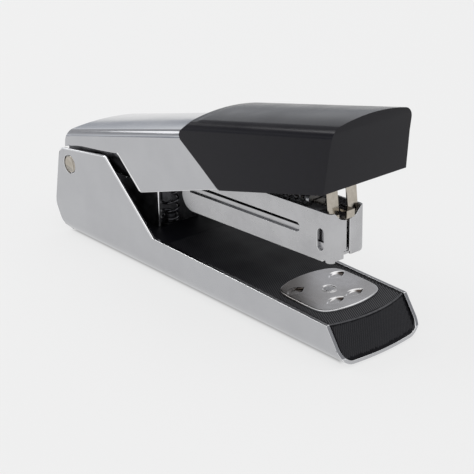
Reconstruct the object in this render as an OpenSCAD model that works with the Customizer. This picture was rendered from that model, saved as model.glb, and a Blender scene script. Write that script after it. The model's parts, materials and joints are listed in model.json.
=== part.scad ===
// Desk stapler: steel base channel, sprung magazine, pivoting arm with a plastic front cap.
// Millimetres. X runs from the hinge to the front lip, Z up. The origin is under the middle.

/* [Base] */
// Outer width of the base channel
base_w = 40; // [39:0.5:42]
// Thickness of the base sheet
base_t = 1.4; // [1.2:0.1:1.5]
// Thickness of the sole under the base
sole_t = 0.8; // [0.6:0.1:1.2]

/* [Hinge] */
// Distance of the hinge pin behind the middle
pin_back = 72; // [71.5:0.1:72.5]
// Height of the hinge pin above the table
pin_z = 32; // [31.5:0.1:32.5]
// Radius of the hinge pin
pin_r = 2.5; // [2:0.1:2.6]
// Play between a pin and its hole, on the radius
play = 0.05; // [0.03:0.01:0.08]

/* [Arm] */
// Outer width of the arm's steel shell
arm_w = 36.6; // [36:0.1:36.6]
// Thickness of the plastic cap
cap_t = 1.8; // [1.5:0.1:2]

/* [Magazine] */
// Upward tilt of the magazine at rest, in degrees
mag_tilt = 1.7; // [1.5:0.1:1.9]
// Length of the full-depth part of the magazine
mag_len = 79; // [78:0.5:80]
// Height of the magazine's side walls
mag_h = 17.8; // [17.6:0.1:18.2]

/* [Anvil] */
// Distance of the anvil's centre in front of the middle
anvil_x = 57; // [56:0.5:58]
// Radius of the anvil's post
post_r = 2.5; // [2.2:0.1:2.6]

/* [Hidden] */
$fn = 48;

steel = [0.72, 0.72, 0.74];
nickel = [0.72, 0.7, 0.65];
black = [0.12, 0.12, 0.14];
dark = [0.2, 0.2, 0.22];

pin_x = -pin_back;
half_w = base_w / 2;
inner_w = half_w - base_t;            // inside of the base walls
floor_z = sole_t + base_t;            // top of the base's bottom sheet
wall_front_z = 13.9;                  // top of the base wall at its front
bend_r = 6;                           // outer radius of the base's lower bends
pad_front_x = 78;                     // crease between the pad's top and its nose
pad_slope = 1.36;                     // fall of the pad's top towards the front, degrees
nose_lean = 27.8;                     // lean of the pad's nose back from upright, degrees
lip_x = 84;                           // front of the base's lip
bracket_x = -25.3;                    // front edge of the hinge bracket
spring_x = -32;                       // lift spring
spring_foot_z = 14.5;
mag_front_x = 65.35;
mag_front_z = 29.2;
wall_in = 7.2;                        // inside of the magazine walls
wall_out = 8.2;
arm_rise = 13.25;                     // slope of the arm's top, degrees
arm_top_z = 45.7;                     // top of the arm over the point arm_ref_x
arm_ref_x = -72.7;
cap_rise = 11.2;                      // slope of the cap's top, degrees
cap_ref = [4.55, 67.6];               // a point of the cap's top line
driver_lean = 7.5;                    // lean of the driver back from upright, degrees
carrier_rivet_x = [-90, -106];        // rivets of the carrier, in the magazine's frame

function pad_z(x) = 13.6 + (pad_front_x - x) * tan(pad_slope);
function arc(c, r, a0, a1, n = 8) = [for (i = [0 : n]) let (a = a0 + (a1 - a0) * i / n)
    [c[0] + r * cos(a), c[1] + r * sin(a)]];
function arm_z(x) = arm_top_z + (x - arm_ref_x) * tan(arm_rise);

// ---- Drawing helpers ----

// A drawing in X and Z as a plate of thickness t, centred on y
module plate_at(y, t) translate([0, y, 0]) rotate([90, 0, 0]) linear_extrude(t, center = true) children();

// The same drawing as both side walls, from |y| = inner to |y| = outer
module wall_pair(inner, outer) for (s = [-1, 1])
    plate_at(s * (inner + outer) / 2, outer - inner) children();

// A drawing in Y and Z, extruded along X
module along_x(x0, x1) translate([x0, 0, 0]) rotate([90, 0, 90]) linear_extrude(x1 - x0) children();

// A shaft or bore along Y, from y0 to y1
module y_shaft(x, z, r, y0, y1) translate([x, y0, z]) rotate([-90, 0, 0]) cylinder(r = r, h = y1 - y0);

// A ring along Y on the hinge pin
module pin_ring(r, y0, y1) difference() {
    y_shaft(pin_x, pin_z, r, y0, y1);
    y_shaft(pin_x, pin_z, pin_r + play, y0 - 1, y1 + 1);
}

// The hole for the hinge pin
module pin_hole(r = pin_r + play) y_shaft(pin_x, pin_z, r, -30, 30);

// A rectangle between two corners
module rect(a, b) translate(a) square(b - a);

// Rectangle with all four corners rounded
module round_rect(a, b, r) {
    rect([a[0] + r, a[1]], [b[0] - r, b[1]]);
    rect([a[0], a[1] + r], [b[0], b[1] - r]);
    for (x = [a[0] + r, b[0] - r]) for (y = [a[1] + r, b[1] - r]) translate([x, y]) circle(r);
}

// The magazine's own frame: x = 0 at its front face, z = 0 at its bottom
module mag() translate([mag_front_x, 0, mag_front_z]) rotate([0, -mag_tilt, 0]) children();

// The anvil's own frame: z = 0 on the pad, normal to it
module anvil() translate([anvil_x, 0, pad_z(anvil_x)]) rotate([0, pad_slope, 0]) children();

// A frame that follows the arm's top, origin over arm_ref_x
module arm_line() translate([arm_ref_x, 0, arm_top_z]) rotate([0, -arm_rise, 0]) children();

// The driver's own frame: origin at the middle of its lower edge
module driver() mag() translate([-1.9, 0, 10.6]) rotate([0, mag_tilt - driver_lean, 0]) children();

// A coil spring: mean radius r, wire radius w, height h, along +Z
module coil(r, w, h, turns, steps = 16, sides = 6) {
    last = turns * steps;
    points = [for (k = [0 : last]) for (j = [0 : sides - 1])
        let (a = 360 * k / steps, b = 360 * j / sides)
        [(r + w * cos(b)) * cos(a), (r + w * cos(b)) * sin(a), w + (h - 2 * w) * k / last + w * sin(b)]];
    skin = [for (k = [0 : last - 1]) for (j = [0 : sides - 1])
        let (p = k * sides + j, q = k * sides + (j + 1) % sides) each [[p, q, q + sides], [p, q + sides, p + sides]]];
    ends = [[for (j = [0 : sides - 1]) j], [for (j = [sides - 1 : -1 : 0]) last * sides + j]];
    polyhedron(points, concat(skin, ends));
}

// ---- Base ----

// Side outline of the base channel with its hinge ear
module base_side() polygon(concat(
    [[-75.6, sole_t], [-78.2, 2.2], [-80, 4.6], [-83.4, 10.8], [-84, 13], [-83.95, 13.9]],
    arc([-75.5, 33.65], 4.55, 169, 97),
    [[-48.05, 41.9], [-46.75, 41.6], [-17.85, 16.1], [32.65, 15.1], [75.3, wall_front_z], [82.1, 3.9],
        [82.7, 3.45], [lip_x, 3.3], [lip_x, sole_t]]));

// Section of the base channel: an open-topped U with round lower bends
module base_section(inset) {
    r = bend_r - inset;
    w = half_w - inset;
    z = sole_t + inset;
    rect([-w, z + r], [w, 50]);
    rect([r - w, z], [w - r, 50]);
    for (s = [-1, 1]) translate([s * (w - r), z + r]) circle(r);
}

module base_channel() color(steel) difference() {
    intersection() {
        along_x(-90, 90) difference() {
            base_section(0);
            base_section(base_t);
        }
        plate_at(0, base_w + 2) base_side();
        linear_extrude(50) intersection() {
            translate([lip_x - 107, 0]) circle(107, $fn = 192);
            round_rect([-130, -half_w], [lip_x, half_w], 4);
        }
    }
    pin_hole(pin_r + 0.03);
    for (s = [-1, 1]) y_shaft(pin_x, pin_z, 4, s > 0 ? half_w - 0.9 : -half_w - 1, s > 0 ? half_w + 1 : 0.9 - half_w);
    for (x = [-66, -42]) for (y = [-5, 5]) translate([x, y, 0]) cylinder(r = 1.53, h = 5);
    anvil() translate([0, 0, -20]) cylinder(r = 6.8, h = 12);
}

module base_pad() color(black) difference() {
    intersection() {
        along_x(-79, 90) round_rect([-18.4, floor_z], [18.4, 40], bend_r - base_t - 0.2);
        plate_at(0, 40) polygon([[-79, floor_z], [-79, pad_z(-79)], [pad_front_x, pad_z(pad_front_x)],
            [lip_x, floor_z]]);
    }
    // bowed nose
    translate([lip_x, 0, floor_z]) rotate([0, -nose_lean, 0]) difference() {
        translate([-4, -25, -10]) cube([20, 50, 40]);
        translate([-60, 0, -20]) cylinder(r = 60, h = 60, $fn = 192);
    }
    // room for the hinge bracket
    translate([-90, -11, 0]) cube([65.1, 22, 40]);
    // hollow underside in bays between ribs
    for (x0 = [-20, 2, 24]) intersection() {
        translate([x0, -16.4, 0]) cube([20, 32.8, 40]);
        translate([0, 0, -2]) plate_at(0, 40) polygon([[-79, 0], [-79, pad_z(-79)],
            [pad_front_x, pad_z(pad_front_x)], [pad_front_x, 0]]);
    }
    // bay and guide hole of the anvil
    anvil() {
        translate([-9, -15, -16]) cube([18, 30, 14]);
        translate([0, 0, -20]) cylinder(r = post_r + play, h = 30);
    }
}

module sole_pad() color(dark) difference() {
    linear_extrude(sole_t) round_rect([-74, bend_r - half_w + 0.5], [78, half_w - bend_r - 0.5], 3);
    anvil() translate([0, 0, -20]) cylinder(r = 7.2, h = 12);
    for (x = [-66, -42]) for (y = [-5, 5]) translate([x, y, -1]) cylinder(r = 3, h = 5);
}

// Upright plates that steady the hinge pin, on a foot riveted to the base
module hinge_bracket() color(dark) difference() {
    union() {
        wall_pair(9.6, 10.8) {
            polygon([[-77, floor_z], [-77.6, 31], [-75, 36.7], [-68, 36.7], [-52, 31.6], [bracket_x, 31.6],
                [bracket_x, floor_z]]);
        }
        translate([-77, -9.7, floor_z]) cube([bracket_x + 77, 19.4, 1.2]);
    }
    pin_hole(pin_r + 0.03);
    for (x = [-66, -42]) for (y = [-5, 5]) translate([x, y, 0]) cylinder(r = 1.53, h = 5);
}

module bracket_rivets() color(nickel) for (x = [-66, -42]) for (y = [-5, 5]) translate([x, y, 0]) {
    translate([0, 0, 0.25]) cylinder(r = 2.6, h = sole_t - 0.25);
    translate([0, 0, 0.4]) cylinder(r = 1.5, h = floor_z + 1.2);
    translate([0, 0, floor_z + 1.2]) cylinder(r1 = 2.8, r2 = 2, h = 0.9);
}

module hinge_pin() color(nickel) difference() {
    union() {
        y_shaft(pin_x, pin_z, pin_r, -half_w + 0.4, half_w - 0.4);
        for (s = [-1, 1]) y_shaft(pin_x, pin_z, 3.6, s > 0 ? half_w - 0.85 : 0.05 - half_w,
            s > 0 ? half_w - 0.05 : 0.85 - half_w);
    }
    for (s = [-1, 1]) translate([pin_x, s * (half_w + 5), pin_z]) sphere(r = 5.6, $fn = 64);
}

module lift_spring_post() color(dark) translate([spring_x, 0, 0]) difference() {
    union() {
        translate([0, 0, floor_z + 1.2]) cylinder(r = 5, h = spring_foot_z - floor_z - 1.2);
        translate([0, 0, spring_foot_z]) cylinder(r = 2.4, h = 3);
    }
    translate([0, 0, floor_z]) cylinder(r = 1.5, h = 10);
}

module lift_spring() color(steel) translate([spring_x, 0, spring_foot_z]) coil(3.4, 0.45, 20.9, 6);

// ---- Anvil ----

module anvil_plate() color(nickel) anvil() {
    half_l = 14.15;
    edge_r = 36.1;
    difference() {
        linear_extrude(0.9) intersection() {
            translate([half_l - edge_r, 0]) circle(edge_r, $fn = 128);
            translate([edge_r - half_l, 0]) circle(edge_r, $fn = 128);
            square([40, 30.6], center = true);
            circle(18.1, $fn = 96);
        }
        translate([0, 0, -1]) cylinder(r = 1.8, h = 3);
        // near pair and far pair of clinching pits
        for (s = [-1, 1]) {
            translate([7.65, s * 4.65, 0.45]) lens(8.7, 3.7);
            translate([-6.35, s * 10.2, 0.45]) lens(8, 4);
        }
    }
}

// A lens-shaped cutter, its length along Y
module lens(length, width) linear_extrude(2) intersection_for (s = [-1, 1]) {
    r = (length * length + width * width) / (4 * width);
    translate([s * (r - width / 2), 0]) circle(r);
}

module anvil_post() color(nickel) anvil() difference() {
    union() {
        cylinder(r = 1.77, h = 1);
        translate([0, 0, -10]) cylinder(r = post_r, h = 10);
        translate([0, 0, -13.1]) cylinder(r = 1.6, h = 3.2);
    }
    translate([0, 0, -12.95]) difference() {
        cylinder(r = 3, h = 0.5);
        translate([0, 0, -1]) cylinder(r = 1.2, h = 3);
    }
}

module anvil_clip() color(steel) anvil() translate([0, 0, -12.9]) difference() {
    cylinder(r = 3.4, h = 0.4);
    translate([0, 0, -1]) cylinder(r = 1.25, h = 3);
    translate([0, -0.9, -1]) cube([5, 1.8, 3]);
}

module anvil_button() color(dark) anvil() difference() {
    union() {
        translate([0, 0, -13.3]) cylinder(r = 6.3, h = 1.5);
        translate([0, 0, -11.9]) cylinder(r = 3.9, h = 3.6);
    }
    translate([0, 0, -10.1]) cylinder(r = post_r + play, h = 5);
    translate([0, 0, -15]) cylinder(r = 1.6 + play, h = 9);
    translate([0, 0, -14]) cylinder(r = 3.9, h = 1.7);
}

module anvil_spring() color(steel) anvil() translate([0, 0, -11.75]) coil(4.7, 0.35, 9.7, 4);

// ---- Magazine ----

// Side outline of the magazine channel
module mag_side() {
    r = 6;
    difference() {
        union() {
            rect([r - mag_len, 0], [0, mag_h]);
            rect([-mag_len, r], [0, mag_h]);
            translate([r - mag_len, r]) circle(r);
            rect([-110, 9.2], [-mag_len + 1, 16]);
        }
        // small upright slot
        translate([-5.05, 5.35]) circle(1.55);
        translate([-5.05, 10.25]) circle(1.55);
        rect([-6.6, 5.35], [-3.5, 10.25]);
    }
}

module magazine_channel() color(nickel) mag() difference() {
    union() {
        intersection() {
            linear_extrude(mag_h) difference() {
                mag_plan(0);
                mag_plan(1);
            }
            plate_at(0, 20) mag_side();
        }
        translate([-mag_len + 6, -7.5, 0]) cube([mag_len - 9.2, 15, 1]);
    }
    // long slot in the near wall
    plate_at(-8, 5) {
        translate([-16.8, 9.35]) circle(1.75);
        rect([-74.5, 7.6], [-16.8, 11.1]);
    }
    // seam between the two front flaps, notch below it and dip above it
    translate([-2, -0.7, -1]) cube([3, 1.5, 20]);
    along_x(-2, 1) polygon([[-2, -1], [-2, 3], [1.4, 2.4], [1.4, -1]]);
    // lower edges of the flaps: the near one a little raised, the far one with a round corner
    along_x(-2, 1) rect([-6.2, -1], [0, 0.5]);
    along_x(-1.8, 1) difference() {
        rect([0, -1], [9, 3.7]);
        rect([-1, 1.2], [5.7, 5]);
        translate([5.7, 3.7]) circle(2.5);
    }
    translate([-4.2, -9, -1]) cube([1.6, 3, 1.7]);
    along_x(-1.6, 1) polygon([[-6.6, 18], [-3.8, 15.2], [-1.7, 14.4], [1.7, 14.4], [3.8, 15.2], [6.6, 18]]);
    // rivet holes
    for (x = carrier_rivet_x) y_shaft(x, 12.6, 1.03, -12, 12);
    for (x = [-20, -60]) translate([x, 0, -1]) cylinder(r = 1.23, h = 4);
}

// Plan of the magazine walls with round front bends
module mag_plan(inset) {
    r = 1.8 - inset;
    w = wall_out - inset;
    rect([-120, -w], [-inset - r, w]);
    rect([-20, r - w], [-inset, w - r]);
    for (s = [-1, 1]) translate([-inset - r, s * (w - r)]) circle(r);
}

// Folded piece that joins the magazine to the hinge pin
module magazine_carrier() color(dark) mag() difference() {
    union() {
        wall_pair(8.3, 9.2) {
            polygon([[-140, 3.4], [-141.2, 9], [-139, 14.6], [-136, 15.4], [-85.5, 15.4], [-85.5, 2],
                [-87.5, 0.3], [-94, 0.6], [-120, 3.6], [-134, 3.2], [-137.3, 2.4]]);
        }
        translate([-136, -9, 14.4]) cube([8, 18, 1]);
    }
    for (x = carrier_rivet_x) y_shaft(x, 12.6, 1.03, -12, 12);
    mag_pin_hole();
}

// The hinge pin's hole, drawn in the magazine's own frame
module mag_pin_hole() rotate([0, mag_tilt, 0]) translate([-mag_front_x, 0, -mag_front_z]) pin_hole();

module carrier_rivets() color(nickel) mag() for (x = carrier_rivet_x) for (s = [-1, 1]) {
    y_shaft(x, 12.6, 1, s > 0 ? 6.9 : -9.3, s > 0 ? 9.3 : -6.9);
    y_shaft(x, 12.6, 1.8, s > 0 ? 6.7 : -7.19, s > 0 ? 7.19 : -6.7);
}

module carrier_bushes() color(nickel) for (s = [-1, 1]) pin_ring(4.2, s > 0 ? 5.2 : -8.25, s > 0 ? 8.25 : -5.2);

// Folded tray that keeps the strip of staples straight
module staple_tray() color(nickel) mag() difference() {
    intersection() {
        along_x(-74, -3.6) difference() {
            rect([-7.15, 1.05], [7.15, 12]);
            rect([-6.65, 1.55], [6.65, 13]);
        }
        plate_at(0, 20) polygon([[-75, 0], [-75, 9.5], [-7.6, 9.7], [-7.6, 6.4], [-3, 6.4], [-3, 0]]);
    }
    for (x = [-20, -60]) translate([x, 0, -1]) cylinder(r = 1.23, h = 4);
}

// Rail that the staples straddle
module staple_rail() color(nickel) mag() difference() {
    along_x(-74, -3.2) difference() {
        union() {
            round_rect([-5.7, 2.6], [5.7, 9], 1);
            rect([-5.7, 1.6], [5.7, 6]);
        }
        rect([-4.9, 2.4], [4.9, 8.2]);
        rect([-3, 1], [3, 4]);
    }
    for (x = [-20, -60]) for (s = [-1, 1]) translate([x, s * 4, 0]) cylinder(r = 0.6, h = 2.5);
}

module rail_rivets() color(nickel) mag() for (x = [-20, -60]) {
    translate([x, 0, 0]) cylinder(r = 1.2, h = 1.6);
    translate([x, 0, 1.56]) cylinder(r = 2.2, h = 0.6);
}

// Flat strip that guides the pusher; its front end hooks over the flaps
module guide_strip() color(nickel) mag() {
    translate([-94.9, -1.9, 17.2]) cube([96.1, 3.8, 0.9]);
    translate([0.3, -1.9, 15.2]) cube([0.9, 3.8, 2.9]);
}

module strip_anchor() color(dark) mag() difference() {
    union() {
        translate([-97, -7.1, 10]) cube([2, 14.2, 6]);
        along_x(-97, -95) intersection() {
            translate([0, 17.4]) circle(4.6);
            rect([-5, 10], [5, 30]);
        }
        translate([-95, -3.6, 16]) cube([2, 7.2, 3.4]);
    }
    translate([-95, -1.92, 17.18]) cube([3, 3.84, 0.94]);
}

module lift_spring_seat() color(nickel) mag() difference() {
    union() {
        translate([-103, -7.15, 9.2]) cube([12, 14.3, 0.8]);
        translate([-97, 0, 6.8]) cylinder(r = 2.4, h = 2.6);
    }
    translate([-97, 0, 6]) cylinder(r = 1.2, h = 2.5);
}

module spring_bush() color(nickel) pin_ring(3.2, -5.1, 5.1);

// Return spring of the arm: a coil on the hinge pin with two legs
module return_spring() color(steel) {
    wire = 0.5;
    translate([pin_x, -4.4, pin_z]) rotate([-90, 0, 0]) coil(4, wire, 8.8, 7);
    // a leg along the magazine, and a leg under the arm's frame
    translate([pin_x + 4, -3.9, pin_z]) rotate([0, 78, 0]) cylinder(r = wire, h = 24, $fn = 16);
    translate([pin_x + 4, 3.9, pin_z]) rotate([0, 57, 0]) cylinder(r = wire, h = 24, $fn = 16);
}

// ---- Pusher ----

module pusher() color(steel) mag() {
    difference() {
        union() {
            translate([-16, -6.4, 9.25]) cube([12, 12.8, 4.6]);
            along_x(-16, -14.6) {
                translate([0, 17.5]) circle(4.4);
                rect([-4.4, 12], [4.4, 17.5]);
            }
        }
        along_x(-20, 0) rect([-2.2, 16.9], [2.2, 18.4]);
        along_x(-14, -6) round_rect([-3, 10.4], [3, 15], 0.8);
    }
    for (s = [-1, 1]) translate([-16, s * 6.2 - 0.22, 3.4]) cube([12, 0.44, 6]);
}

module pusher_spring() color(steel) mag() translate([-16.1, 0, 17.65]) rotate([0, -90, 0])
    coil(2.9, 0.3, 76.8, 24, 12, 6);

// ---- Arm ----

// Side outline of the arm's shell: rear edge, front edge along the cap's, slanted cut, rear lower edge
module arm_side() polygon([[-77.2, 37.9], [-76.8, 41], [-75.4, 45], [-75.4, 80], [8, 80], [6.6, 68.6],
    [-1.6, 62.6], [-1.9, 61.6], [-1.2, 60], [19.9, 47.1], [21.2, 46.6], [-26.4, 32], [-27.8, 32.3],
    [-40.4, 43.6], [-41.6, 44], [-48.8, 42.9], [-68.6, 40.5], [-74.6, 39]]);

// Section across the arm, below its top line
module arm_section(w, inset, r) {
    rect([-w, -70], [w, -inset - r]);
    rect([r - w, -70], [w - r, -inset]);
    for (s = [-1, 1]) translate([s * (w - r), -inset - r]) circle(r);
}

module arm_cover() color(steel) {
    intersection() {
        arm_line() along_x(-30, 110) difference() {
            arm_section(arm_w / 2, 0, 3);
            arm_section(arm_w / 2 - 1, 1, 2);
        }
        plate_at(0, arm_w + 2) arm_side();
    }
    // tongue that lies under the cap's rear rim
    arm_line() translate([68, -14.5, -1]) cube([15, 29, 1]);
}

// Plug welds between the shell's side walls and the inner frame
module cover_welds() color(steel) for (s = [-1, 1]) for (x = [-55, -10])
    y_shaft(x, arm_z(x) - 5.2, 1.6, s > 0 ? 16.8 : -(arm_w / 2 - 1), s > 0 ? arm_w / 2 - 1 : -16.8);

// Inner frame, from the hinge to the driver
module arm_frame() color(dark) difference() {
    intersection() {
        arm_line() along_x(-30, 160) difference() {
            arm_section(16.8, 1.4, 2);
            arm_section(15.6, 2.6, 0.8);
        }
        plate_at(0, 40) polygon(concat([[-76.4, 39], [-75, 44], [-75, 90], [62, 90], [62, 63.5], [50, 60.5],
            [-20, 46.5], [-60, 38.5], [-67.6, 37]], arc([pin_x, pin_z], 4.4, 0, -180, 16)));
    }
    pin_hole();
    // rivet holes of the driver's flange
    driver() for (s = [-1, 1]) translate([-5, s * 4.6, 30]) cylinder(r = 1.23, h = 12);
    // lightening window in the web
    arm_line() translate([30, -8, -8]) cube([60, 16, 10]);
}

module pin_spacers() color(nickel) for (s = [-1, 1]) pin_ring(4, s > 0 ? 10.9 : -15.5, s > 0 ? 15.5 : -10.9);

// Section across the cap: sides drawn in towards the top
module cap_section(inset) {
    top = 18.9 - inset;
    low = 20.3 - inset;
    r = 3.5 - inset;
    polygon([[-low, -30], [low, -30], [top, -3.5], [top - r, -inset], [r - top, -inset], [-top, -3.5]]);
    for (s = [-1, 1]) translate([s * (top - r), -3.5]) circle(r);
}

// A frame that follows the cap's top
module cap_line() translate([cap_ref[0], 0, cap_ref[1]]) rotate([0, -cap_rise, 0]) children();

module front_cap() color(black) difference() {
    intersection() {
        cap_line() along_x(-20, 90) cap_section(0);
        plate_at(0, 44) polygon([[-1.8, 61.7], [-1.4, 63.2], [4.5, 68.6], [5, 90], [75.4, 90], [74.5, 80],
            [73.5, 73], [72.2, 59.2], [70.8, 58.7], [21.6, 46.7], [20.3, 46.95], [-1.1, 60.1]]);
    }
    intersection() {
        cap_line() along_x(-30, 90) cap_section(cap_t);
        // the rear rim above the arm's top stays solid
        plate_at(0, 44) polygon([[-20, 30], [-20, arm_z(-20) + 0.1], [6.3, arm_z(6.3) + 0.1], [6.3, 90],
            [75.4 - cap_t, 90], [73.5 - cap_t, 75], [71.7 - cap_t, 30]]);
    }
}

// Spring clips that hold the cap on the arm's frame
module cap_clips() color(steel) for (s = [-1, 1]) for (x = [38, 54])
    translate([x - 3, s * 17.05 - 0.25, arm_z(x) - 12]) cube([6, 0.5, 6]);

// ---- Driver ----

module driver_blade() color(nickel) driver() difference() {
    union() {
        translate([-0.35, -6.95, 0]) cube([0.7, 13.9, 33.4]);
        translate([-8, -6.95, 32.7]) cube([8.35, 13.9, 0.7]);
    }
    // the gap that the guide strip passes through
    translate([-1, -2.2, -1]) cube([2, 4.4, 26]);
    for (s = [-1, 1]) translate([-5, s * 4.6, 30]) cylinder(r = 1.23, h = 6);
}

module driver_rivets() color(steel) driver() for (s = [-1, 1]) translate([-5, s * 4.6, 0]) {
    translate([0, 0, 32.2]) cylinder(r = 1.2, h = 3.4);
    translate([0, 0, 32.05]) cylinder(r = 2.1, h = 0.64);
}

base_channel();
base_pad();
sole_pad();
hinge_bracket();
bracket_rivets();
hinge_pin();
lift_spring_post();
lift_spring();
anvil_button();
anvil_spring();
anvil_clip();
anvil_post();
anvil_plate();
magazine_channel();
magazine_carrier();
carrier_rivets();
carrier_bushes();
staple_tray();
staple_rail();
rail_rivets();
guide_strip();
strip_anchor();
lift_spring_seat();
spring_bush();
return_spring();
pusher();
pusher_spring();
arm_cover();
arm_frame();
cover_welds();
pin_spacers();
front_cap();
cap_clips();
driver_blade();
driver_rivets();
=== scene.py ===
"""Looks for the desk stapler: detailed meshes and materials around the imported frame, in its metres and axes."""

import json
import math

import bmesh
import bpy
from mathutils import Matrix, Vector


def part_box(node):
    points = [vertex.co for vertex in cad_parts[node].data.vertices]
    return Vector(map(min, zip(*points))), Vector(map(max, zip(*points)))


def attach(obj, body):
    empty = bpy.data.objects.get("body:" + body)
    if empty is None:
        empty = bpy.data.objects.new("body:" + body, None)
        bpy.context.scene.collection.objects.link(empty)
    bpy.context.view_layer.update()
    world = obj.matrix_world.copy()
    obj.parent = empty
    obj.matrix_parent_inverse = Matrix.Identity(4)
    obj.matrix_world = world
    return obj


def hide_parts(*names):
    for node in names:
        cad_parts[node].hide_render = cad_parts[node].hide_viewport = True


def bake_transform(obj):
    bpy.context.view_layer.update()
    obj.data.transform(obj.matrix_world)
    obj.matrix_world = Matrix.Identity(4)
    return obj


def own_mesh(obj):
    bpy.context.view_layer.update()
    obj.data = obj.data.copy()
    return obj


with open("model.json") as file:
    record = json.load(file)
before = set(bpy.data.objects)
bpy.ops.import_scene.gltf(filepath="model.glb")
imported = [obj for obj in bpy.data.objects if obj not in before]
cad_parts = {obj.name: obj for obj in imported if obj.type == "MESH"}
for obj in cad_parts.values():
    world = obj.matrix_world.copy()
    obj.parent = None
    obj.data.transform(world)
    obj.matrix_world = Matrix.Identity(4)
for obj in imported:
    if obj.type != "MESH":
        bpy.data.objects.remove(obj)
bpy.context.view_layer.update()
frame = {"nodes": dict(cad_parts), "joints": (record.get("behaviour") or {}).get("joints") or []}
NODES = frame["nodes"]
JOINTS = {joint["name"]: joint for joint in frame["joints"]}
MM = 0.001
FLAT = 0.1  # degrees: faces closer than this to one plane are one face
SHARP = 30  # degrees: edges sharper than this are rounded
WELD_GAP = 2e-6  # metres: vertices closer than this are one


# ---- Mesh helpers ----

def new_piece(name, bm, slot, body, *replaced):
    """An object from a bmesh, with its slot's material, that rides on a body and stands for CAD nodes."""
    mesh = bpy.data.meshes.new(name)
    bm.to_mesh(mesh)
    bm.free()
    mesh.materials.append(MATERIALS[slot])
    obj = bpy.data.objects.new(name, mesh)
    bpy.context.scene.collection.objects.link(obj)
    if body:
        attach(obj, body)
    if replaced:
        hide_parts(*replaced)
    return obj


def clean_copy(node):
    """A welded copy of a CAD node's mesh, with each flat face in one piece."""
    bm = bmesh.new()
    bm.from_mesh(NODES[node].data)
    bmesh.ops.remove_doubles(bm, verts=bm.verts, dist=WELD_GAP)
    bmesh.ops.dissolve_limit(bm, angle_limit=math.radians(FLAT), verts=bm.verts, edges=bm.edges)
    return bm


def cut(bm, planes, keep=lambda face: True):
    """Cuts the chosen faces along planes, each a point and a normal, without opening the mesh."""
    faces = [f for f in bm.faces if keep(f)]
    edges = list({e for f in faces for e in f.edges})
    verts = list({v for f in faces for v in f.verts})
    geometry = faces + edges + verts
    for point, normal in planes:
        result = bmesh.ops.bisect_plane(bm, geom=geometry, dist=1e-7, plane_co=point, plane_no=normal)
        geometry = result["geom"]


def steps(low, high, pitch):
    """Evenly spaced values between two ends, a pitch apart at most, without the ends."""
    count = max(1, math.ceil((high - low) / pitch))
    return [low + (high - low) * k / count for k in range(1, count)]


def weigh_edges(bm, rule):
    """Gives each sharp edge a bevel weight, by a rule of its middle and its direction."""
    layer = bm.edges.layers.float.new("bevel_weight_edge")
    for edge in bm.edges:
        if edge.is_manifold and edge.calc_face_angle() > math.radians(SHARP):
            a, b = (v.co for v in edge.verts)
            edge[layer] = rule((a + b) / 2, (b - a).normalized())
            edge.smooth = edge[layer] > 0


def soften(obj, width, angle=None, weld=False, highlight=None):
    """Rounds an object's weighted edges, or those over an angle, in a painted highlight material of their own if
    one is given.
    """
    if weld:
        modifier = obj.modifiers.new("weld", "WELD")
        modifier.merge_threshold = WELD_GAP
        modifier = obj.modifiers.new("flats", "DECIMATE")
        modifier.decimate_type = "DISSOLVE"
        modifier.angle_limit = math.radians(FLAT)
    modifier = obj.modifiers.new("edges", "BEVEL")
    modifier.width = width
    modifier.segments = 3
    modifier.miter_outer = "MITER_ARC"
    if angle:
        modifier.limit_method = "ANGLE"
        modifier.angle_limit = math.radians(angle)
    else:
        modifier.limit_method = "WEIGHT"
        modifier.use_clamp_overlap = False
    if highlight:
        obj.data.materials.append(MATERIALS[highlight])
        modifier.material = 1
    modifier = obj.modifiers.new("normals", "WEIGHTED_NORMAL")
    modifier.keep_sharp = True
    modifier.weight = 50
    for polygon in obj.data.polygons:
        polygon.use_smooth = True
    return obj


def skin(bm, rings):
    """Faces between each ring of vertices and the next."""
    for a, b in zip(rings, rings[1:]):
        for k in range(len(a)):
            bm.faces.new((a[k], b[k], b[(k + 1) % len(a)], a[(k + 1) % len(a)]))


def tube(points, radius, sides=12):
    """A round wire along a list of points, with flat ends."""
    bm = bmesh.new()
    count = len(points)
    rings = []
    normal = None
    for k, point in enumerate(points):
        along = (points[min(k + 1, count - 1)] - points[max(k - 1, 0)]).normalized()
        if normal is None:
            normal = along.orthogonal().normalized()
        normal = (normal - along * normal.dot(along)).normalized()
        side = along.cross(normal)
        rings.append([bm.verts.new(point + radius * (math.cos(a) * normal + math.sin(a) * side))
                      for a in (math.tau * j / sides for j in range(sides))])
    for a, b in zip(rings, rings[1:]):
        for j in range(sides):
            bm.faces.new((a[j], a[(j + 1) % sides], b[(j + 1) % sides], b[j]))
    bm.faces.new(reversed(rings[0]))
    bm.faces.new(rings[-1])
    for face in bm.faces:
        face.smooth = len(face.verts) == 4
    return bm


def coil_points(frame_matrix, radius, wire, height, turns, closed_turns=1.0, per_turn=32):
    """The centreline of a coil along +Z of a frame, its end turns wound close."""
    points = []
    count = int(turns * per_turn)
    close = 2.1 * wire  # pitch of the end turns, a hair over the wire's thickness
    pitch = (height - 2 * wire - 2 * closed_turns * close) / (turns - 2 * closed_turns)
    z = wire
    for k in range(count + 1):
        turn = k / per_turn
        angle = math.tau * turn
        points.append(frame_matrix @ Vector((radius * math.cos(angle), radius * math.sin(angle), z)))
        near_end = min(turn, turns - turn) < closed_turns
        z += (close if near_end else pitch) / per_turn
    return points


def frame_along(origin, axis, side=Vector((0, 1, 0))):
    """A frame at a point, its Z along an axis and its Y as near to side as it can be."""
    z = Vector(axis).normalized()
    x = side.cross(z).normalized()
    rotation = Matrix((x, z.cross(x), z)).transposed()
    return Matrix.Translation(Vector(origin)) @ rotation.to_4x4()


# ---- Materials ----

PATTERN_ENDS = (0.35, 0.65)  # most of a noise pattern lies between these values


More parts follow.
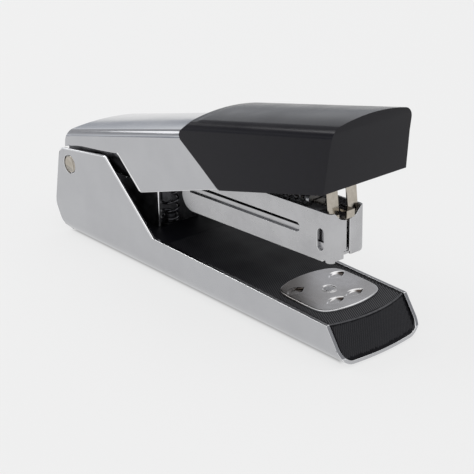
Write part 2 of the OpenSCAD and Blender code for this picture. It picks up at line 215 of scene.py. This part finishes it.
def mix_colours(tree, factor, first, second):
    """Mixes a colour socket with a fixed colour, by a factor socket."""
    mix = tree.nodes.new("ShaderNodeMix")
    mix.data_type = "RGBA"
    colours = [socket for socket in mix.inputs if socket.type == "RGBA"]
    tree.links.new(factor, mix.inputs["Factor"])
    tree.links.new(first, colours[0])
    colours[1].default_value = (*second, 1)
    return next(socket for socket in mix.outputs if socket.type == "RGBA")


def map_range(tree, value, start, end, low, high, kind="LINEAR"):
    """Maps a value from start..end to low..high."""
    node = tree.nodes.new("ShaderNodeMapRange")
    node.interpolation_type = kind
    for socket, number in (("From Min", start), ("From Max", end), ("To Min", low), ("To Max", high)):
        node.inputs[socket].default_value = number
    tree.links.new(value, node.inputs["Value"])
    return node.outputs["Result"]


class Shader:
    """A Principled material and the few node patterns that the stapler's materials use."""

    def __init__(self, name, colour, metallic, roughness, **sockets):
        self.material = bpy.data.materials.new(name)
        self.material.use_nodes = True
        self.tree = self.material.node_tree
        self.bsdf = self.tree.nodes["Principled BSDF"]
        self.bsdf.inputs["Base Color"].default_value = (*colour, 1)
        self.bsdf.inputs["Metallic"].default_value = metallic
        self.bsdf.inputs["Roughness"].default_value = roughness
        for socket, value in sockets.items():
            self.bsdf.inputs[socket.replace("_", " ")].default_value = value
        self.coordinates = self.tree.nodes.new("ShaderNodeTexCoord").outputs["Object"]
        self.height = None

    def noise(self, scale, detail=2.0, rough=0.5, turn=(0, 0, 0)):
        """A noise pattern; scale is in cycles per metre along X, Y and Z."""
        mapping = self.tree.nodes.new("ShaderNodeMapping")
        mapping.inputs["Scale"].default_value = scale
        mapping.inputs["Rotation"].default_value = turn
        self.tree.links.new(self.coordinates, mapping.inputs["Vector"])
        noise = self.tree.nodes.new("ShaderNodeTexNoise")
        noise.inputs["Scale"].default_value = 1
        noise.inputs["Detail"].default_value = detail
        noise.inputs["Roughness"].default_value = rough
        self.tree.links.new(mapping.outputs["Vector"], noise.inputs["Vector"])
        return noise.outputs["Fac"]

    def vary(self, socket, value, low, high):
        """Drives a number socket with a pattern."""
        self.tree.links.new(map_range(self.tree, value, *PATTERN_ENDS, low, high), self.bsdf.inputs[socket])

    def tint(self, value, dark, light, start=PATTERN_ENDS[0], end=PATTERN_ENDS[1]):
        """Drives the colour between two colours with a pattern."""
        ramp = self.tree.nodes.new("ShaderNodeValToRGB")
        ramp.color_ramp.elements[0].position = start
        ramp.color_ramp.elements[0].color = (*dark, 1)
        ramp.color_ramp.elements[1].position = end
        ramp.color_ramp.elements[1].color = (*light, 1)
        self.tree.links.new(value, ramp.inputs["Fac"])
        self.tree.links.new(ramp.outputs["Color"], self.bsdf.inputs["Base Color"])

    def darken(self, attribute, colour):
        """Mixes the colour so far toward another by a mesh attribute."""
        share = self.tree.nodes.new("ShaderNodeAttribute")
        share.attribute_name = attribute
        socket = self.bsdf.inputs["Base Color"]
        mixed = mix_colours(self.tree, share.outputs["Fac"], socket.links[0].from_socket, colour)
        self.tree.links.new(mixed, socket)

    def bump(self, value, distance, strength=1.0):
        """Adds a bump of a depth in metres on top of earlier ones."""
        node = self.tree.nodes.new("ShaderNodeBump")
        node.inputs["Strength"].default_value = strength
        node.inputs["Distance"].default_value = distance
        self.tree.links.new(value, node.inputs["Height"])
        if self.height:
            self.tree.links.new(self.height, node.inputs["Normal"])
        self.height = node.outputs["Normal"]
        self.tree.links.new(self.height, self.bsdf.inputs["Normal"])


def chrome_steel():
    """Bright chrome plate: nearly mirror-like, with a faint waviness and fine drawing lines."""
    shader = Shader("chrome_steel", (0.5, 0.51, 0.53), 1, 0.1)
    cloud = shader.noise((26, 26, 26), 3)
    shader.vary("Roughness", cloud, 0.085, 0.15)
    shader.tint(shader.noise((60, 60, 60), 4, 0.6), (0.485, 0.489, 0.505), (0.51, 0.514, 0.53))
    shader.bump(shader.noise((18, 90, 90), 1), 3.5e-6)
    shader.bump(shader.noise((160, 4200, 4200), 2), 2.5e-7)
    return shader.material


def edge_highlight():
    """A painted highlight for the rounded edges of the sheets: a far paler chrome than the sheet, so that the
    edges shine.
    """
    shader = Shader("edge_highlight", (0.9, 0.9, 0.91), 1, 0.12)
    shader.vary("Roughness", shader.noise((300, 300, 300), 2), 0.08, 0.16)
    shader.tint(shader.noise((200, 200, 200), 3), (0.86, 0.86, 0.87), (0.95, 0.95, 0.96))
    shader.bump(shader.noise((900, 900, 900), 2), 8e-7)
    return shader.material


def nickel_steel():
    """Zinc and nickel plated sheet with a soft brushed grain along the magazine."""
    shader = Shader("nickel_steel", (0.5, 0.5, 0.51), 1, 0.24, Anisotropic=0.3)
    grain = shader.noise((70, 2600, 2600), 3, 0.6)
    cloud = shader.noise((90, 90, 90), 4, 0.6)
    shader.vary("Roughness", cloud, 0.2, 0.34)
    shader.tint(cloud, (0.445, 0.445, 0.455), (0.535, 0.535, 0.545))
    shader.bump(grain, 9e-7)
    shader.bump(shader.noise((140, 140, 140), 2), 4e-6)
    return shader.material


def anvil_nickel():
    """The anvil's nickel: ground smooth, so that its pits mirror sharply, darkened warmly by a mesh attribute:
    painted shade at one end of each pit, and darker toward one rear corner.
    """
    shader = Shader("anvil_nickel", (0.5, 0.49, 0.48), 1, 0.14)
    cloud = shader.noise((120, 120, 120), 4, 0.6)
    shader.vary("Roughness", cloud, 0.11, 0.18)
    shader.tint(shader.noise((45, 45, 45), 4, 0.6), (0.6, 0.585, 0.57), (0.77, 0.765, 0.775))
    shader.darken("pit_shade_and_dark_corner", (0.07, 0.055, 0.045))
    shader.bump(shader.noise((140, 140, 140), 2), 3e-6)
    return shader.material


def warm_nickel():
    """Nickel with a warm cast, as on the rivets and the driver."""
    shader = Shader("warm_nickel", (0.52, 0.47, 0.4), 1, 0.16)
    cloud = shader.noise((300, 300, 300), 4, 0.6)
    shader.vary("Roughness", cloud, 0.12, 0.22)
    shader.tint(cloud, (0.42, 0.385, 0.33), (0.53, 0.49, 0.43))
    shader.bump(shader.noise((3000, 3000, 400), 2), 5e-7)
    return shader.material


def dark_steel():
    """Black oxide on stamped steel."""
    shader = Shader("dark_steel", (0.14, 0.14, 0.15), 1, 0.34)
    cloud = shader.noise((220, 220, 220), 4, 0.65)
    shader.vary("Roughness", cloud, 0.3, 0.5)
    shader.tint(cloud, (0.1, 0.1, 0.108), (0.17, 0.17, 0.18))
    shader.bump(shader.noise((2500, 2500, 2500), 2), 1.2e-6)
    return shader.material


def spring_steel():
    """Drawn spring wire, oiled."""
    shader = Shader("spring_steel", (0.2, 0.2, 0.21), 1, 0.3)
    cloud = shader.noise((900, 900, 900), 3)
    shader.vary("Roughness", cloud, 0.24, 0.4)
    shader.tint(cloud, (0.15, 0.15, 0.16), (0.24, 0.24, 0.25))
    shader.bump(shader.noise((5000, 5000, 5000), 1), 4e-7)
    return shader.material


def cap_plastic():
    """Satin ABS with a fine spark-eroded grain."""
    shader = Shader("cap_plastic", (0.006, 0.0055, 0.0092), 0, 0.27, Specular_IOR_Level=0.22)
    cloud = shader.noise((55, 55, 55), 3)
    shader.vary("Roughness", cloud, 0.2, 0.27)
    shader.tint(shader.noise((700, 700, 700), 3), (0.002, 0.0017, 0.0045), (0.0035, 0.003, 0.0065))
    shader.bump(shader.noise((5200, 5200, 5200), 2, 0.6), 1.5e-6)
    return shader.material


def pad_plastic():
    """The base's moulded insert: black, with a painted highlight on the knurl's crests."""
    shader = Shader("pad_plastic", (0.007, 0.007, 0.0085), 0, 0.5, Specular_IOR_Level=0.14)
    crest_highlight = shader.tree.nodes.new("ShaderNodeAttribute")
    crest_highlight.attribute_name = "crest_highlight"
    shader.vary("Roughness", shader.noise((80, 80, 80), 3), 0.44, 0.56)
    shader.tint(crest_highlight.outputs["Fac"], (0.0025, 0.0025, 0.0042), (0.17, 0.17, 0.18), 0.25, 1.0)
    shader.bump(shader.noise((6000, 6000, 6000), 2, 0.6), 3e-6)
    return shader.material


def crease_highlight():
    """A paler black plastic: a painted highlight along the insert's rounded crease."""
    shader = Shader("crease_highlight", (0.09, 0.09, 0.095), 0, 0.3, Specular_IOR_Level=0.3)
    shader.vary("Roughness", shader.noise((200, 200, 200), 2), 0.24, 0.36)
    shader.tint(shader.noise((600, 600, 600), 3, 0.6), (0.055, 0.055, 0.06), (0.09, 0.09, 0.096))
    shader.bump(shader.noise((4000, 4000, 4000), 2), 2e-6)
    return shader.material


def sole_rubber():
    """Soft matt rubber."""
    shader = Shader("sole_rubber", (0.02, 0.02, 0.021), 0, 0.75)
    shader.vary("Roughness", shader.noise((150, 150, 150), 3), 0.68, 0.85)
    shader.tint(shader.noise((500, 500, 500), 4, 0.7), (0.016, 0.016, 0.017), (0.03, 0.03, 0.031))
    shader.bump(shader.noise((2200, 2200, 2200), 3, 0.7), 1.5e-5)
    return shader.material


MATERIALS = {make.__name__: make() for make in (
    chrome_steel, edge_highlight, nickel_steel, anvil_nickel, warm_nickel, dark_steel, spring_steel,
    cap_plastic, pad_plastic, crease_highlight, sole_rubber)}


# ---- Base channel and magazine ----

def base_channel():
    """The channel, with its cut edges rounded most where the ears' outline is seen, and a painted highlight on
    the rounds.
    """
    bm = clean_copy("base_channel")
    # cross cuts keep the shading of the long faces even
    cut(bm, [((x * MM, 0, 0), (1, 0, 0)) for x in (-79, -76, -60, -20, 20, 60, 72, 76, 78, 79.5)])
    pin = Vector(JOINTS["arm_swing"]["pos_m"])
    pin_recess, foot, nose_start, ears_end = 4.6 * MM, 3 * MM, 60 * MM, -28 * MM

    def weight(middle, along):
        if math.hypot(middle.x - pin.x, middle.z - pin.z) < pin_recess or middle.z < foot:
            return 0.16
        if middle.x > nose_start:
            return 0.22
        return 0.2 if abs(along.x) > 0.97 and middle.x > ears_end else 1

    weigh_edges(bm, weight)
    shell = new_piece("base_shell", bm, "chrome_steel", "base", "base_channel")
    return soften(shell, 0.55 * MM, highlight="edge_highlight")


def hinge_bracket():
    """The folded bracket under the hinge, its upright front edges well rounded, with a painted highlight on the
    rounds.
    """
    bm = clean_copy("hinge_bracket")
    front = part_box("hinge_bracket")[1].x

    def weight(middle, along):
        return 1 if abs(along.z) > 0.95 and middle.x > front - 1 * MM else 0.1

    weigh_edges(bm, weight)
    bracket = new_piece("bracket_folded", bm, "dark_steel", "base", "hinge_bracket")
    return soften(bracket, 0.5 * MM, highlight="edge_highlight")


def magazine_channel():
    """The magazine's channel, its lower rear corners rounded more than its other edges, with a painted highlight
    on the rounds.
    """
    bm = clean_copy("magazine_channel")
    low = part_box("magazine_channel")[0]

    def weight(middle, along):
        return 1 if middle.x < low.x + 14 * MM and middle.z < low.z + 30 * MM else 0.35

    weigh_edges(bm, weight)
    channel = new_piece("magazine_shell", bm, "nickel_steel", "magazine", "magazine_channel")
    return soften(channel, 0.34 * MM, highlight="edge_highlight")


def hinge_pin():
    """The hinge pin, its riveted heads turned with a rolled rim and a dished face."""
    low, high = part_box("hinge_pin")
    centre, end, rim = (low + high) / 2, high.y / MM, (high.z - low.z) / 2 / MM
    # radius and height over the end of the pin, in millimetres: the dished face, then the rolled rim
    head = [(r, -0.75 + 0.078 * r * r) for r in (0, 0.7, 1.4, 2.0, 2.5, 2.8)] + [
        (2.95, -0.03), (3.08, 0), (3.25, -0.05), (3.45, -0.2), (rim, -0.42), (rim, -0.8), (2.5, -0.8)]
    profile = [(r, end + y) for r, y in head] + [(r, -end - y) for r, y in reversed(head)]
    bm = bmesh.new()
    sides = 72
    rings = [[bm.verts.new(centre + MM * Vector((r * math.cos(a), y - centre.y / MM, r * math.sin(a))))
              for a in (math.tau * k / sides for k in range(sides))] for r, y in profile]
    skin(bm, rings)
    bmesh.ops.remove_doubles(bm, verts=bm.verts, dist=1e-7)
    bmesh.ops.recalc_face_normals(bm, faces=bm.faces)
    obj = new_piece("hinge_rivet", bm, "warm_nickel", "base", "hinge_pin")
    obj.data.shade_smooth()
    obj.data.set_sharp_from_angle(angle=math.radians(60))
    return obj


# ---- Arm and cap ----

ARM_RISE = math.tan(math.radians(13.25))
CAP_RISE = math.tan(math.radians(11.2))


def crown(y, half, height):
    """Height of a bowed top at y, nothing at its edges."""
    return height * max(0.0, 1 - (y / half) ** 2)


def arm_cover():
    """The arm's folded sheet, bowed across its top, with a painted highlight strip along its slanted rear edge
    and on its rounded edges.
    """
    bm = clean_copy("arm_cover")
    low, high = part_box("arm_cover")
    half = high.y
    along_arm = Vector((1, 0, ARM_RISE)).normalized()
    top_cuts = [((0, y, 0), (0, 1, 0)) for y in steps(-half, half, 1.5 * MM)]
    cut(bm, top_cuts, lambda face: abs(face.normal.z) > 0.5)
    cut(bm, [((x, 0, 0), along_arm) for x in steps(low.x, high.x, 8 * MM)])

    start, end = Vector((-41.2, 0, 44)) * MM, Vector((-27, 0, 31.9)) * MM
    slant, length = (end - start).normalized(), (end - start).length
    inward = Vector((-slant.z, 0, slant.x))
    strip = 0.85 * MM

    def outer_wall(face):
        return abs(face.normal.y) > 0.99 and abs(face.calc_center_median().y) > half - 0.2 * MM

    cut(bm, [(start + inward * strip, inward), (start, slant), (end, slant)], outer_wall)
    bm.normal_update()
    # the faces of the strip along the slanted rear edge take the painted highlight material
    for face in bm.faces:
        middle = face.calc_center_median() - start
        if outer_wall(face) and 0 < middle.dot(slant) < length and middle.dot(inward) < strip:
            face.material_index = 1

    def weight(middle, along):
        below_top = high.z + (middle.x - high.x) * ARM_RISE - middle.z
        under_cap = middle.x > -3 * MM and middle.z > 46.9 * MM
        return 0 if below_top < 3.3 * MM or under_cap else 1

    weigh_edges(bm, weight)
    for vert in bm.verts:
        vert.co.z += crown(vert.co.y, half, 1.5 * MM)
    shell = new_piece("arm_cover_shell", bm, "chrome_steel", "arm", "arm_cover")
    return soften(shell, 0.25 * MM, highlight="edge_highlight")


def front_cap():
    """The plastic cap, bowed across its top and drooping a little at the sides."""
    bm = clean_copy("front_cap")
    low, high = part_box("front_cap")
    half = high.y - 1.2 * MM
    fade_depth = 14 * MM
    along_cap = Vector((1, 0, CAP_RISE)).normalized()

    def top(face):
        return face.normal.z > 0.3 or face.normal.z < -0.5

    cut(bm, [((0, y, 0), (0, 1, 0)) for y in steps(-half, half, 1.5 * MM)], top)
    cut(bm, [((x, 0, 0), along_cap) for x in steps(low.x, high.x, 8 * MM)], top)
    for vert in bm.verts:
        below = high.z + (vert.co.x - high.x) * CAP_RISE - vert.co.z
        share = max(0.0, 1 - below / fade_depth)
        vert.co.z += share * (crown(vert.co.y, half, 1.9 * MM) - 0.4 * MM * (vert.co.y / half) ** 2)
    return soften(new_piece("front_cap_shell", bm, "cap_plastic", "arm", "front_cap"), 0.6 * MM, 40)


# ---- Anvil ----

def smooth(low, high, value):
    """0 below low to 1 above high, with soft ends."""
    share = min(1, max(0, (value - low) / (high - low)))
    return share * share * (3 - 2 * share)


def lens_depth(x, y, centre_x, centre_y, length, width):
    """0 at the rim of a dished pit to 1 at its middle, or below 0 outside it; its length is along Y."""
    u = abs(x - centre_x) / (width / 2)
    v = abs(y - centre_y) / (length / 2)
    return (1 - u - v * v) if v < 1 else -1.0


def anvil_plate():
    """The anvil: a barrel-shaped plate with dished pits, a pressed ring and a rolled edge. In millimetres."""
    joint = JOINTS["anvil_turn"]
    place = frame_along(joint["pos_m"], joint["axis"])
    half_l, half_w, edge_r, thick = 14.15, 15.3, 36.1, 0.9
    corner_power, roll = 9, 0.45
    pits = [(7.65, s * 4.65, 8.7, 3.7) for s in (-1, 1)] + [(-6.35, s * 10.2, 8.0, 4.0) for s in (-1, 1)]

    def reach(angle):
        """Distance from the middle to the plate's edge."""
        c, s = abs(math.cos(angle)), abs(math.sin(angle))
        centre = edge_r - half_l
        arc = -centre * c + math.sqrt(edge_r ** 2 - (centre * s) ** 2)
        side = half_w / max(s, 1e-9)
        return (arc ** -corner_power + side ** -corner_power) ** (-1 / corner_power)

    def height(x, y, edge):
        """Top of the plate at a point that is so far from its edge."""
        z = thick
        for pit in pits:
            depth = lens_depth(x, y, *pit)
            if depth > -0.25:
                z -= 0.6 / (1 + math.exp(-13 * (depth - 0.12)))
                z += 0.05 * math.exp(-((depth + 0.12) / 0.09) ** 2)
        r = math.hypot(x, y)
        z += 0.09 * math.exp(-((r - 2.7) / 0.3) ** 2) - 0.1 * math.exp(-((r - 2.15) / 0.25) ** 2)
        if edge < roll:
            z -= roll - math.sqrt(max(0.0, roll ** 2 - (roll - edge) ** 2))
        return z

    bm = bmesh.new()
    spokes, hole_r, ring_count = 384, 1.8, 84
    fine_edge = [1.0 - e for e in (0.012, 0.008, 0.004, 0.0015)]
    angles = [math.tau * k / spokes for k in range(spokes)]
    rings = []

    def add_ring(share, underside=False):
        """A ring of vertices at a share of the way from the hole to the edge."""
        ring = []
        for angle in angles:
            full = reach(angle)
            r = hole_r + (full - hole_r) * share
            x, y = r * math.cos(angle), r * math.sin(angle)
            z = 0 if underside else height(x, y, full - r)
            ring.append(bm.verts.new((x * MM, y * MM, z * MM)))
        rings.append(ring)

    for share in sorted(set([k / ring_count for k in range(ring_count + 1)] + fine_edge)):
        add_ring(share)
    for share in (1.0, 0.0):
        add_ring(share, underside=True)
    rings.append(rings[0])
    skin(bm, rings)
    bmesh.ops.recalc_face_normals(bm, faces=bm.faces)
    # darker toward one rear corner, and painted shade at one end of each pit
    pit_shade_and_dark_corner = bm.verts.layers.float.new("pit_shade_and_dark_corner")
    for vert in bm.verts:
        x, y = vert.co.x / MM, vert.co.y / MM
        vert[pit_shade_and_dark_corner] = 0.75 * smooth(2, 19, -x - y)
        for pit in pits:
            along_pit = (y - pit[1]) / (pit[2] / 2)
            vert[pit_shade_and_dark_corner] += 1.1 * smooth(0.0, 0.2, lens_depth(x, y, *pit)) * smooth(0.15, 0.6, along_pit)
    bmesh.ops.transform(bm, matrix=place, verts=bm.verts)
    obj = new_piece("anvil_dished", bm, "anvil_nickel", "anvil", "anvil_plate")
    obj.data.shade_smooth()
    obj.data.set_sharp_from_angle(angle=math.radians(50))
    return obj


# ---- Base insert ----

KNURL_PITCH = 0.77 * MM
KNURL_TURN = math.radians(28)
KNURL_DEPTH = 0.14 * MM
KNURL_START = -12 * MM
KNURL_MARGIN = 0.9 * MM
NOSE_START = 70 * MM


def wave(value):
    """0 on the crests, 1 in the valleys."""
    return 1 - abs(2 * (value - math.floor(value)) - 1)


def pad_top(face):
    return face.material_index == 0 and face.normal.z > 0.95 and face.calc_center_median().x > KNURL_START


def pad_nose(face):
    return face.material_index == 0 and face.normal.x > 0.6 and face.calc_center_median().x > NOSE_START


def knurl(bm, corner, low, high, regions):
    """Cuts the regions along two families of lines, sinks the valleys and paints a highlight on the crests."""
    for keep, normals in regions:
        points = [v.co - corner for f in bm.faces if keep(f) for v in f.verts]
        for normal in normals:
            reach = [point.dot(normal) / (KNURL_PITCH / 2) for point in points]
            first, last = math.ceil(min(reach)), math.floor(max(reach))
            lines = [corner + normal * (k * KNURL_PITCH / 2) for k in range(first, last + 1)]
            cut(bm, [(point, normal) for point in lines], keep)
    bm.normal_update()

    def plain(keep, vert):
        """Whether a vertex lies on the plain margin of its region."""
        if abs(vert.co.y) > high.y - KNURL_MARGIN or vert.co.x < KNURL_START + KNURL_MARGIN:
            return True
        if keep is pad_top:
            return abs(vert.co.x - corner.x) < KNURL_MARGIN
        return not low.z + KNURL_MARGIN < vert.co.z < corner.z - KNURL_MARGIN / 2

    moves, crest_highlights = {}, bm.verts.layers.float.new("crest_highlight")
    for keep, normals in regions:
        for face in (f for f in bm.faces if keep(f)):
            for vert in face.verts:
                if plain(keep, vert):
                    continue
                cross, along = (wave((vert.co - corner).dot(n) / KNURL_PITCH) for n in normals)
                moves[vert] = -face.normal * KNURL_DEPTH * (0.6 * cross + 1.4 * along)
                crest_highlight = (1 - along) * (1 - 0.4 * cross)
                # the painted crest highlight grows toward the front of the top; the nose is painted a little
                # paler all over, with a faint crest highlight
                front = smooth(25 * MM, 60 * MM, vert.co.x)
                vert[crest_highlights] = crest_highlight * (0.5 + 0.5 * front) if keep is pad_top else 0.3 + 0.12 * crest_highlight
    for vert, move in moves.items():
        vert.co += move


def base_pad():
    """The black insert, with a fine diamond knurl on its top and its nose."""
    bm = clean_copy("base_pad")
    low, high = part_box("base_pad")
    cut(bm, [((KNURL_START, 0, 0), (1, 0, 0))])
    nose_faces = [f for f in bm.faces if pad_nose(f)]
    nose_lean = math.atan2(nose_faces[0].normal.z, nose_faces[0].normal.x)
    corner = Vector((max(v.co.x for f in bm.faces if pad_top(f) for v in f.verts), 0,
                     max(v.co.z for f in nose_faces for v in f.verts)))
    # the crease between them is rounded and painted paler, as a painted highlight
    crease = [e for e in bm.edges if len(e.link_faces) == 2 and any(pad_top(f) for f in e.link_faces)
              and any(pad_nose(f) for f in e.link_faces)]
    bmesh.ops.bevel(bm, geom=crease, offset=0.36 * MM, segments=2, profile=0.5, affect="EDGES",
                    clamp_overlap=False, material=1)

    def families(direction):
        """The normals of a region's two families of lines."""
        across = math.cos(KNURL_TURN) * Vector((0, 1, 0))
        return [math.sin(KNURL_TURN) * direction + s * across for s in (-1, 1)]

    down = Vector((math.sin(nose_lean), 0, -math.cos(nose_lean)))
    knurl(bm, corner, low, high, [(pad_top, families(Vector((1, 0, 0)))), (pad_nose, families(down))])
    # the nose bows less at its foot than at its crease
    for vert in bm.verts:
        if vert.co.x > corner.x - 4 * MM:
            foot = (corner.z - vert.co.z) / (corner.z - low.z)
            vert.co.x += 1.3 * MM * max(0, foot) * (vert.co.y / high.y) ** 2
    obj = new_piece("base_insert", bm, "pad_plastic", "base", "base_pad")
    obj.data.materials.append(MATERIALS["crease_highlight"])
    obj.data.shade_smooth()
    obj.data.set_sharp_from_angle(angle=math.radians(22))
    return obj


# ---- Springs ----

def springs():
    """The coils that show, wound as wire: under the magazine, behind the pusher and under the anvil."""
    low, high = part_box("lift_spring")
    foot = Vector(((low.x + high.x) / 2, 0, low.z))
    wire = 0.45 * MM
    points = coil_points(Matrix.Translation(foot), 3.4 * MM, wire, high.z - low.z, turns=7)
    lift = new_piece("lift_coil", tube(points, wire), "spring_steel", None)
    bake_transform(lift)
    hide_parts("lift_spring")

    axis = Vector(JOINTS["pusher_slide"]["axis"])
    low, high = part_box("pusher_spring")
    front = Vector((high.x, 0, high.z - 3.2 * MM))
    length = (high.x - low.x) / abs(axis.x)
    wire = 0.3 * MM
    points = coil_points(frame_along(front, axis), 2.9 * MM, wire, length - 0.2 * MM,
                         turns=26, closed_turns=2, per_turn=24)
    drive = new_piece("pusher_coil", tube(points, wire, sides=8), "spring_steel", "magazine", "pusher_spring")
    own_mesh(drive)

    axis = Vector(JOINTS["anvil_lift"]["axis"])
    low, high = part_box("anvil_spring")
    middle = (low + high) / 2
    wire = 0.35 * MM
    points = coil_points(frame_along(middle - axis * 4.85 * MM, axis), 4.7 * MM, wire, 9.7 * MM, turns=5)
    anvil = new_piece("anvil_coil", tube(points, wire), "spring_steel", "base", "anvil_spring")
    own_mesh(anvil)


# ---- Put together ----

base_channel()
magazine_channel()
hinge_bracket()
hinge_pin()
arm_cover()
front_cap()
anvil_plate()
base_pad()
springs()

# widths of the rounded edges of the nodes shown as they are, in millimetres
PLAIN_EDGE = 0.1
EDGE = {"sole_pad": 0.2, "cap_clips": 0.08, "staple_tray": 0.08, "guide_strip": 0.14, "anvil_clip": 0.06}
for name, node in NODES.items():
    if node.hide_render:
        continue
    slot = node.material_slots[0].material.name.split(".")[0]
    node.material_slots[0].link = "OBJECT"
    node.material_slots[0].material = MATERIALS[slot]
    soften(node, EDGE.get(name, PLAIN_EDGE) * MM, SHARP, weld=True)


# ---- Studio ----

FLOOR_GLOW = 0.88
SHADOW_GLOW = 0.03  # the floor's glow in the shadow painted under the object
SHADOW_EDGES = (("X", 0.074, 0.080), ("Y", 0.0135, 0.0170))  # axis, where the painted shadow starts to fade, where it ends
SKY = [(0.0, (0.34, 0.36, 0.4)), (0.04, (0.46, 0.48, 0.52)), (0.11, (1.0, 1.02, 1.05)),
       (0.22, (0.56, 0.57, 0.59)), (0.34, (0.38, 0.385, 0.4)), (0.54, (0.38, 0.38, 0.39)),
       (0.68, (1.2, 1.2, 1.2)), (1.0, (1.3, 1.3, 1.3))]  # brightness from the horizon up
BACKDROP = (0.9, 0.9, 0.9)  # the sky as the camera sees it


def maths(tree, operation, *values):
    """A maths node on one or two values."""
    node = tree.nodes.new("ShaderNodeMath")
    node.operation = operation
    for value, socket in zip(values, node.inputs):
        tree.links.new(value, socket)
    return node.outputs["Value"]


def add_floor():
    """A white glowing floor, with a shadow painted under the object, where its glow is low."""
    mesh = bpy.data.meshes.new("floor")
    size = 1.5
    corners = [(-size, -size, 0), (size, -size, 0), (size, size, 0), (-size, size, 0)]
    mesh.from_pydata(corners, [], [(0, 1, 2, 3)])
    floor = bpy.data.objects.new("floor", mesh)
    bpy.context.scene.collection.objects.link(floor)
    material = bpy.data.materials.new("floor")
    material.use_nodes = True
    tree = material.node_tree
    tree.nodes.remove(tree.nodes["Principled BSDF"])
    place = tree.nodes.new("ShaderNodeSeparateXYZ")
    tree.links.new(tree.nodes.new("ShaderNodeTexCoord").outputs["Object"], place.inputs["Vector"])
    outside_shadow = maths(tree, "MAXIMUM", *(
        map_range(tree, maths(tree, "ABSOLUTE", place.outputs[axis]), start, end, 0, 1, "SMOOTHSTEP")
        for axis, start, end in SHADOW_EDGES))
    glow = tree.nodes.new("ShaderNodeEmission")
    glow.inputs["Color"].default_value = (1, 1, 1, 1)
    tree.links.new(map_range(tree, outside_shadow, 0, 1, SHADOW_GLOW, FLOOR_GLOW), glow.inputs["Strength"])
    diffuse = tree.nodes.new("ShaderNodeBsdfDiffuse")
    diffuse.inputs["Color"].default_value = (0.8, 0.8, 0.8, 1)
    mix = tree.nodes.new("ShaderNodeMixShader")
    mix.inputs["Fac"].default_value = 0.8
    tree.links.new(diffuse.outputs["BSDF"], mix.inputs[1])
    tree.links.new(glow.outputs["Emission"], mix.inputs[2])
    tree.links.new(mix.outputs["Shader"], tree.nodes["Material Output"].inputs["Surface"])
    mesh.materials.append(material)


def add_sky():
    """A world that grows brighter with height, with an even backdrop behind the object."""
    world = bpy.data.worlds.new("studio")
    bpy.context.scene.world = world
    world.use_nodes = True
    tree = world.node_tree
    split = tree.nodes.new("ShaderNodeSeparateXYZ")
    tree.links.new(tree.nodes.new("ShaderNodeTexCoord").outputs["Generated"], split.inputs["Vector"])
    ramp = tree.nodes.new("ShaderNodeValToRGB")
    for position, _ in SKY[1:-1]:
        ramp.color_ramp.elements.new(position)
    for element, (position, colour) in zip(ramp.color_ramp.elements, SKY):
        element.position = position
        element.color = (*colour, 1)
    tree.links.new(split.outputs["Z"], ramp.inputs["Fac"])
    camera_ray = tree.nodes.new("ShaderNodeLightPath").outputs["Is Camera Ray"]
    result = mix_colours(tree, camera_ray, ramp.outputs["Color"], BACKDROP)
    tree.links.new(result, tree.nodes["Background"].inputs["Color"])


def add_panel(name, position, width, height, power):
    """A soft light that faces the object."""
    light = bpy.data.lights.new(name, "AREA")
    light.shape = "RECTANGLE"
    light.size, light.size_y = width, height
    light.energy = power
    lamp = bpy.data.objects.new(name, light)
    lamp.location = position
    aim = Vector((0, 0, 0.04)) - Vector(position)
    lamp.rotation_euler = aim.to_track_quat("-Z", "Y").to_euler()
    bpy.context.scene.collection.objects.link(lamp)


def add_camera():
    """The main view, from in front and above, on the near side."""
    data = bpy.data.cameras.new("camera")
    data.sensor_width = 36
    data.lens = 92.74
    data.clip_start = 0.01
    camera_object = bpy.data.objects.new("camera", data)
    azimuth, pitch, roll = (math.radians(a) for a in (48.461, 22.805, -0.151))
    turn = (Matrix.Rotation(azimuth, 4, "Z") @ Matrix.Rotation(math.pi / 2 - pitch, 4, "X")
            @ Matrix.Rotation(roll, 4, "Z"))
    camera_object.matrix_world = Matrix.Translation((0.32572, -0.28118, 0.19762)) @ turn
    bpy.context.scene.collection.objects.link(camera_object)
    bpy.context.scene.camera = camera_object


add_floor()
add_sky()
add_panel("front_left", (-0.9, -0.5, 0.84), 0.5, 0.3, 2)
add_panel("rear", (-1.06, -0.1, 0.5), 0.36, 0.1, 0.16)
add_camera()
bpy.context.scene.view_settings.view_transform = "Standard"
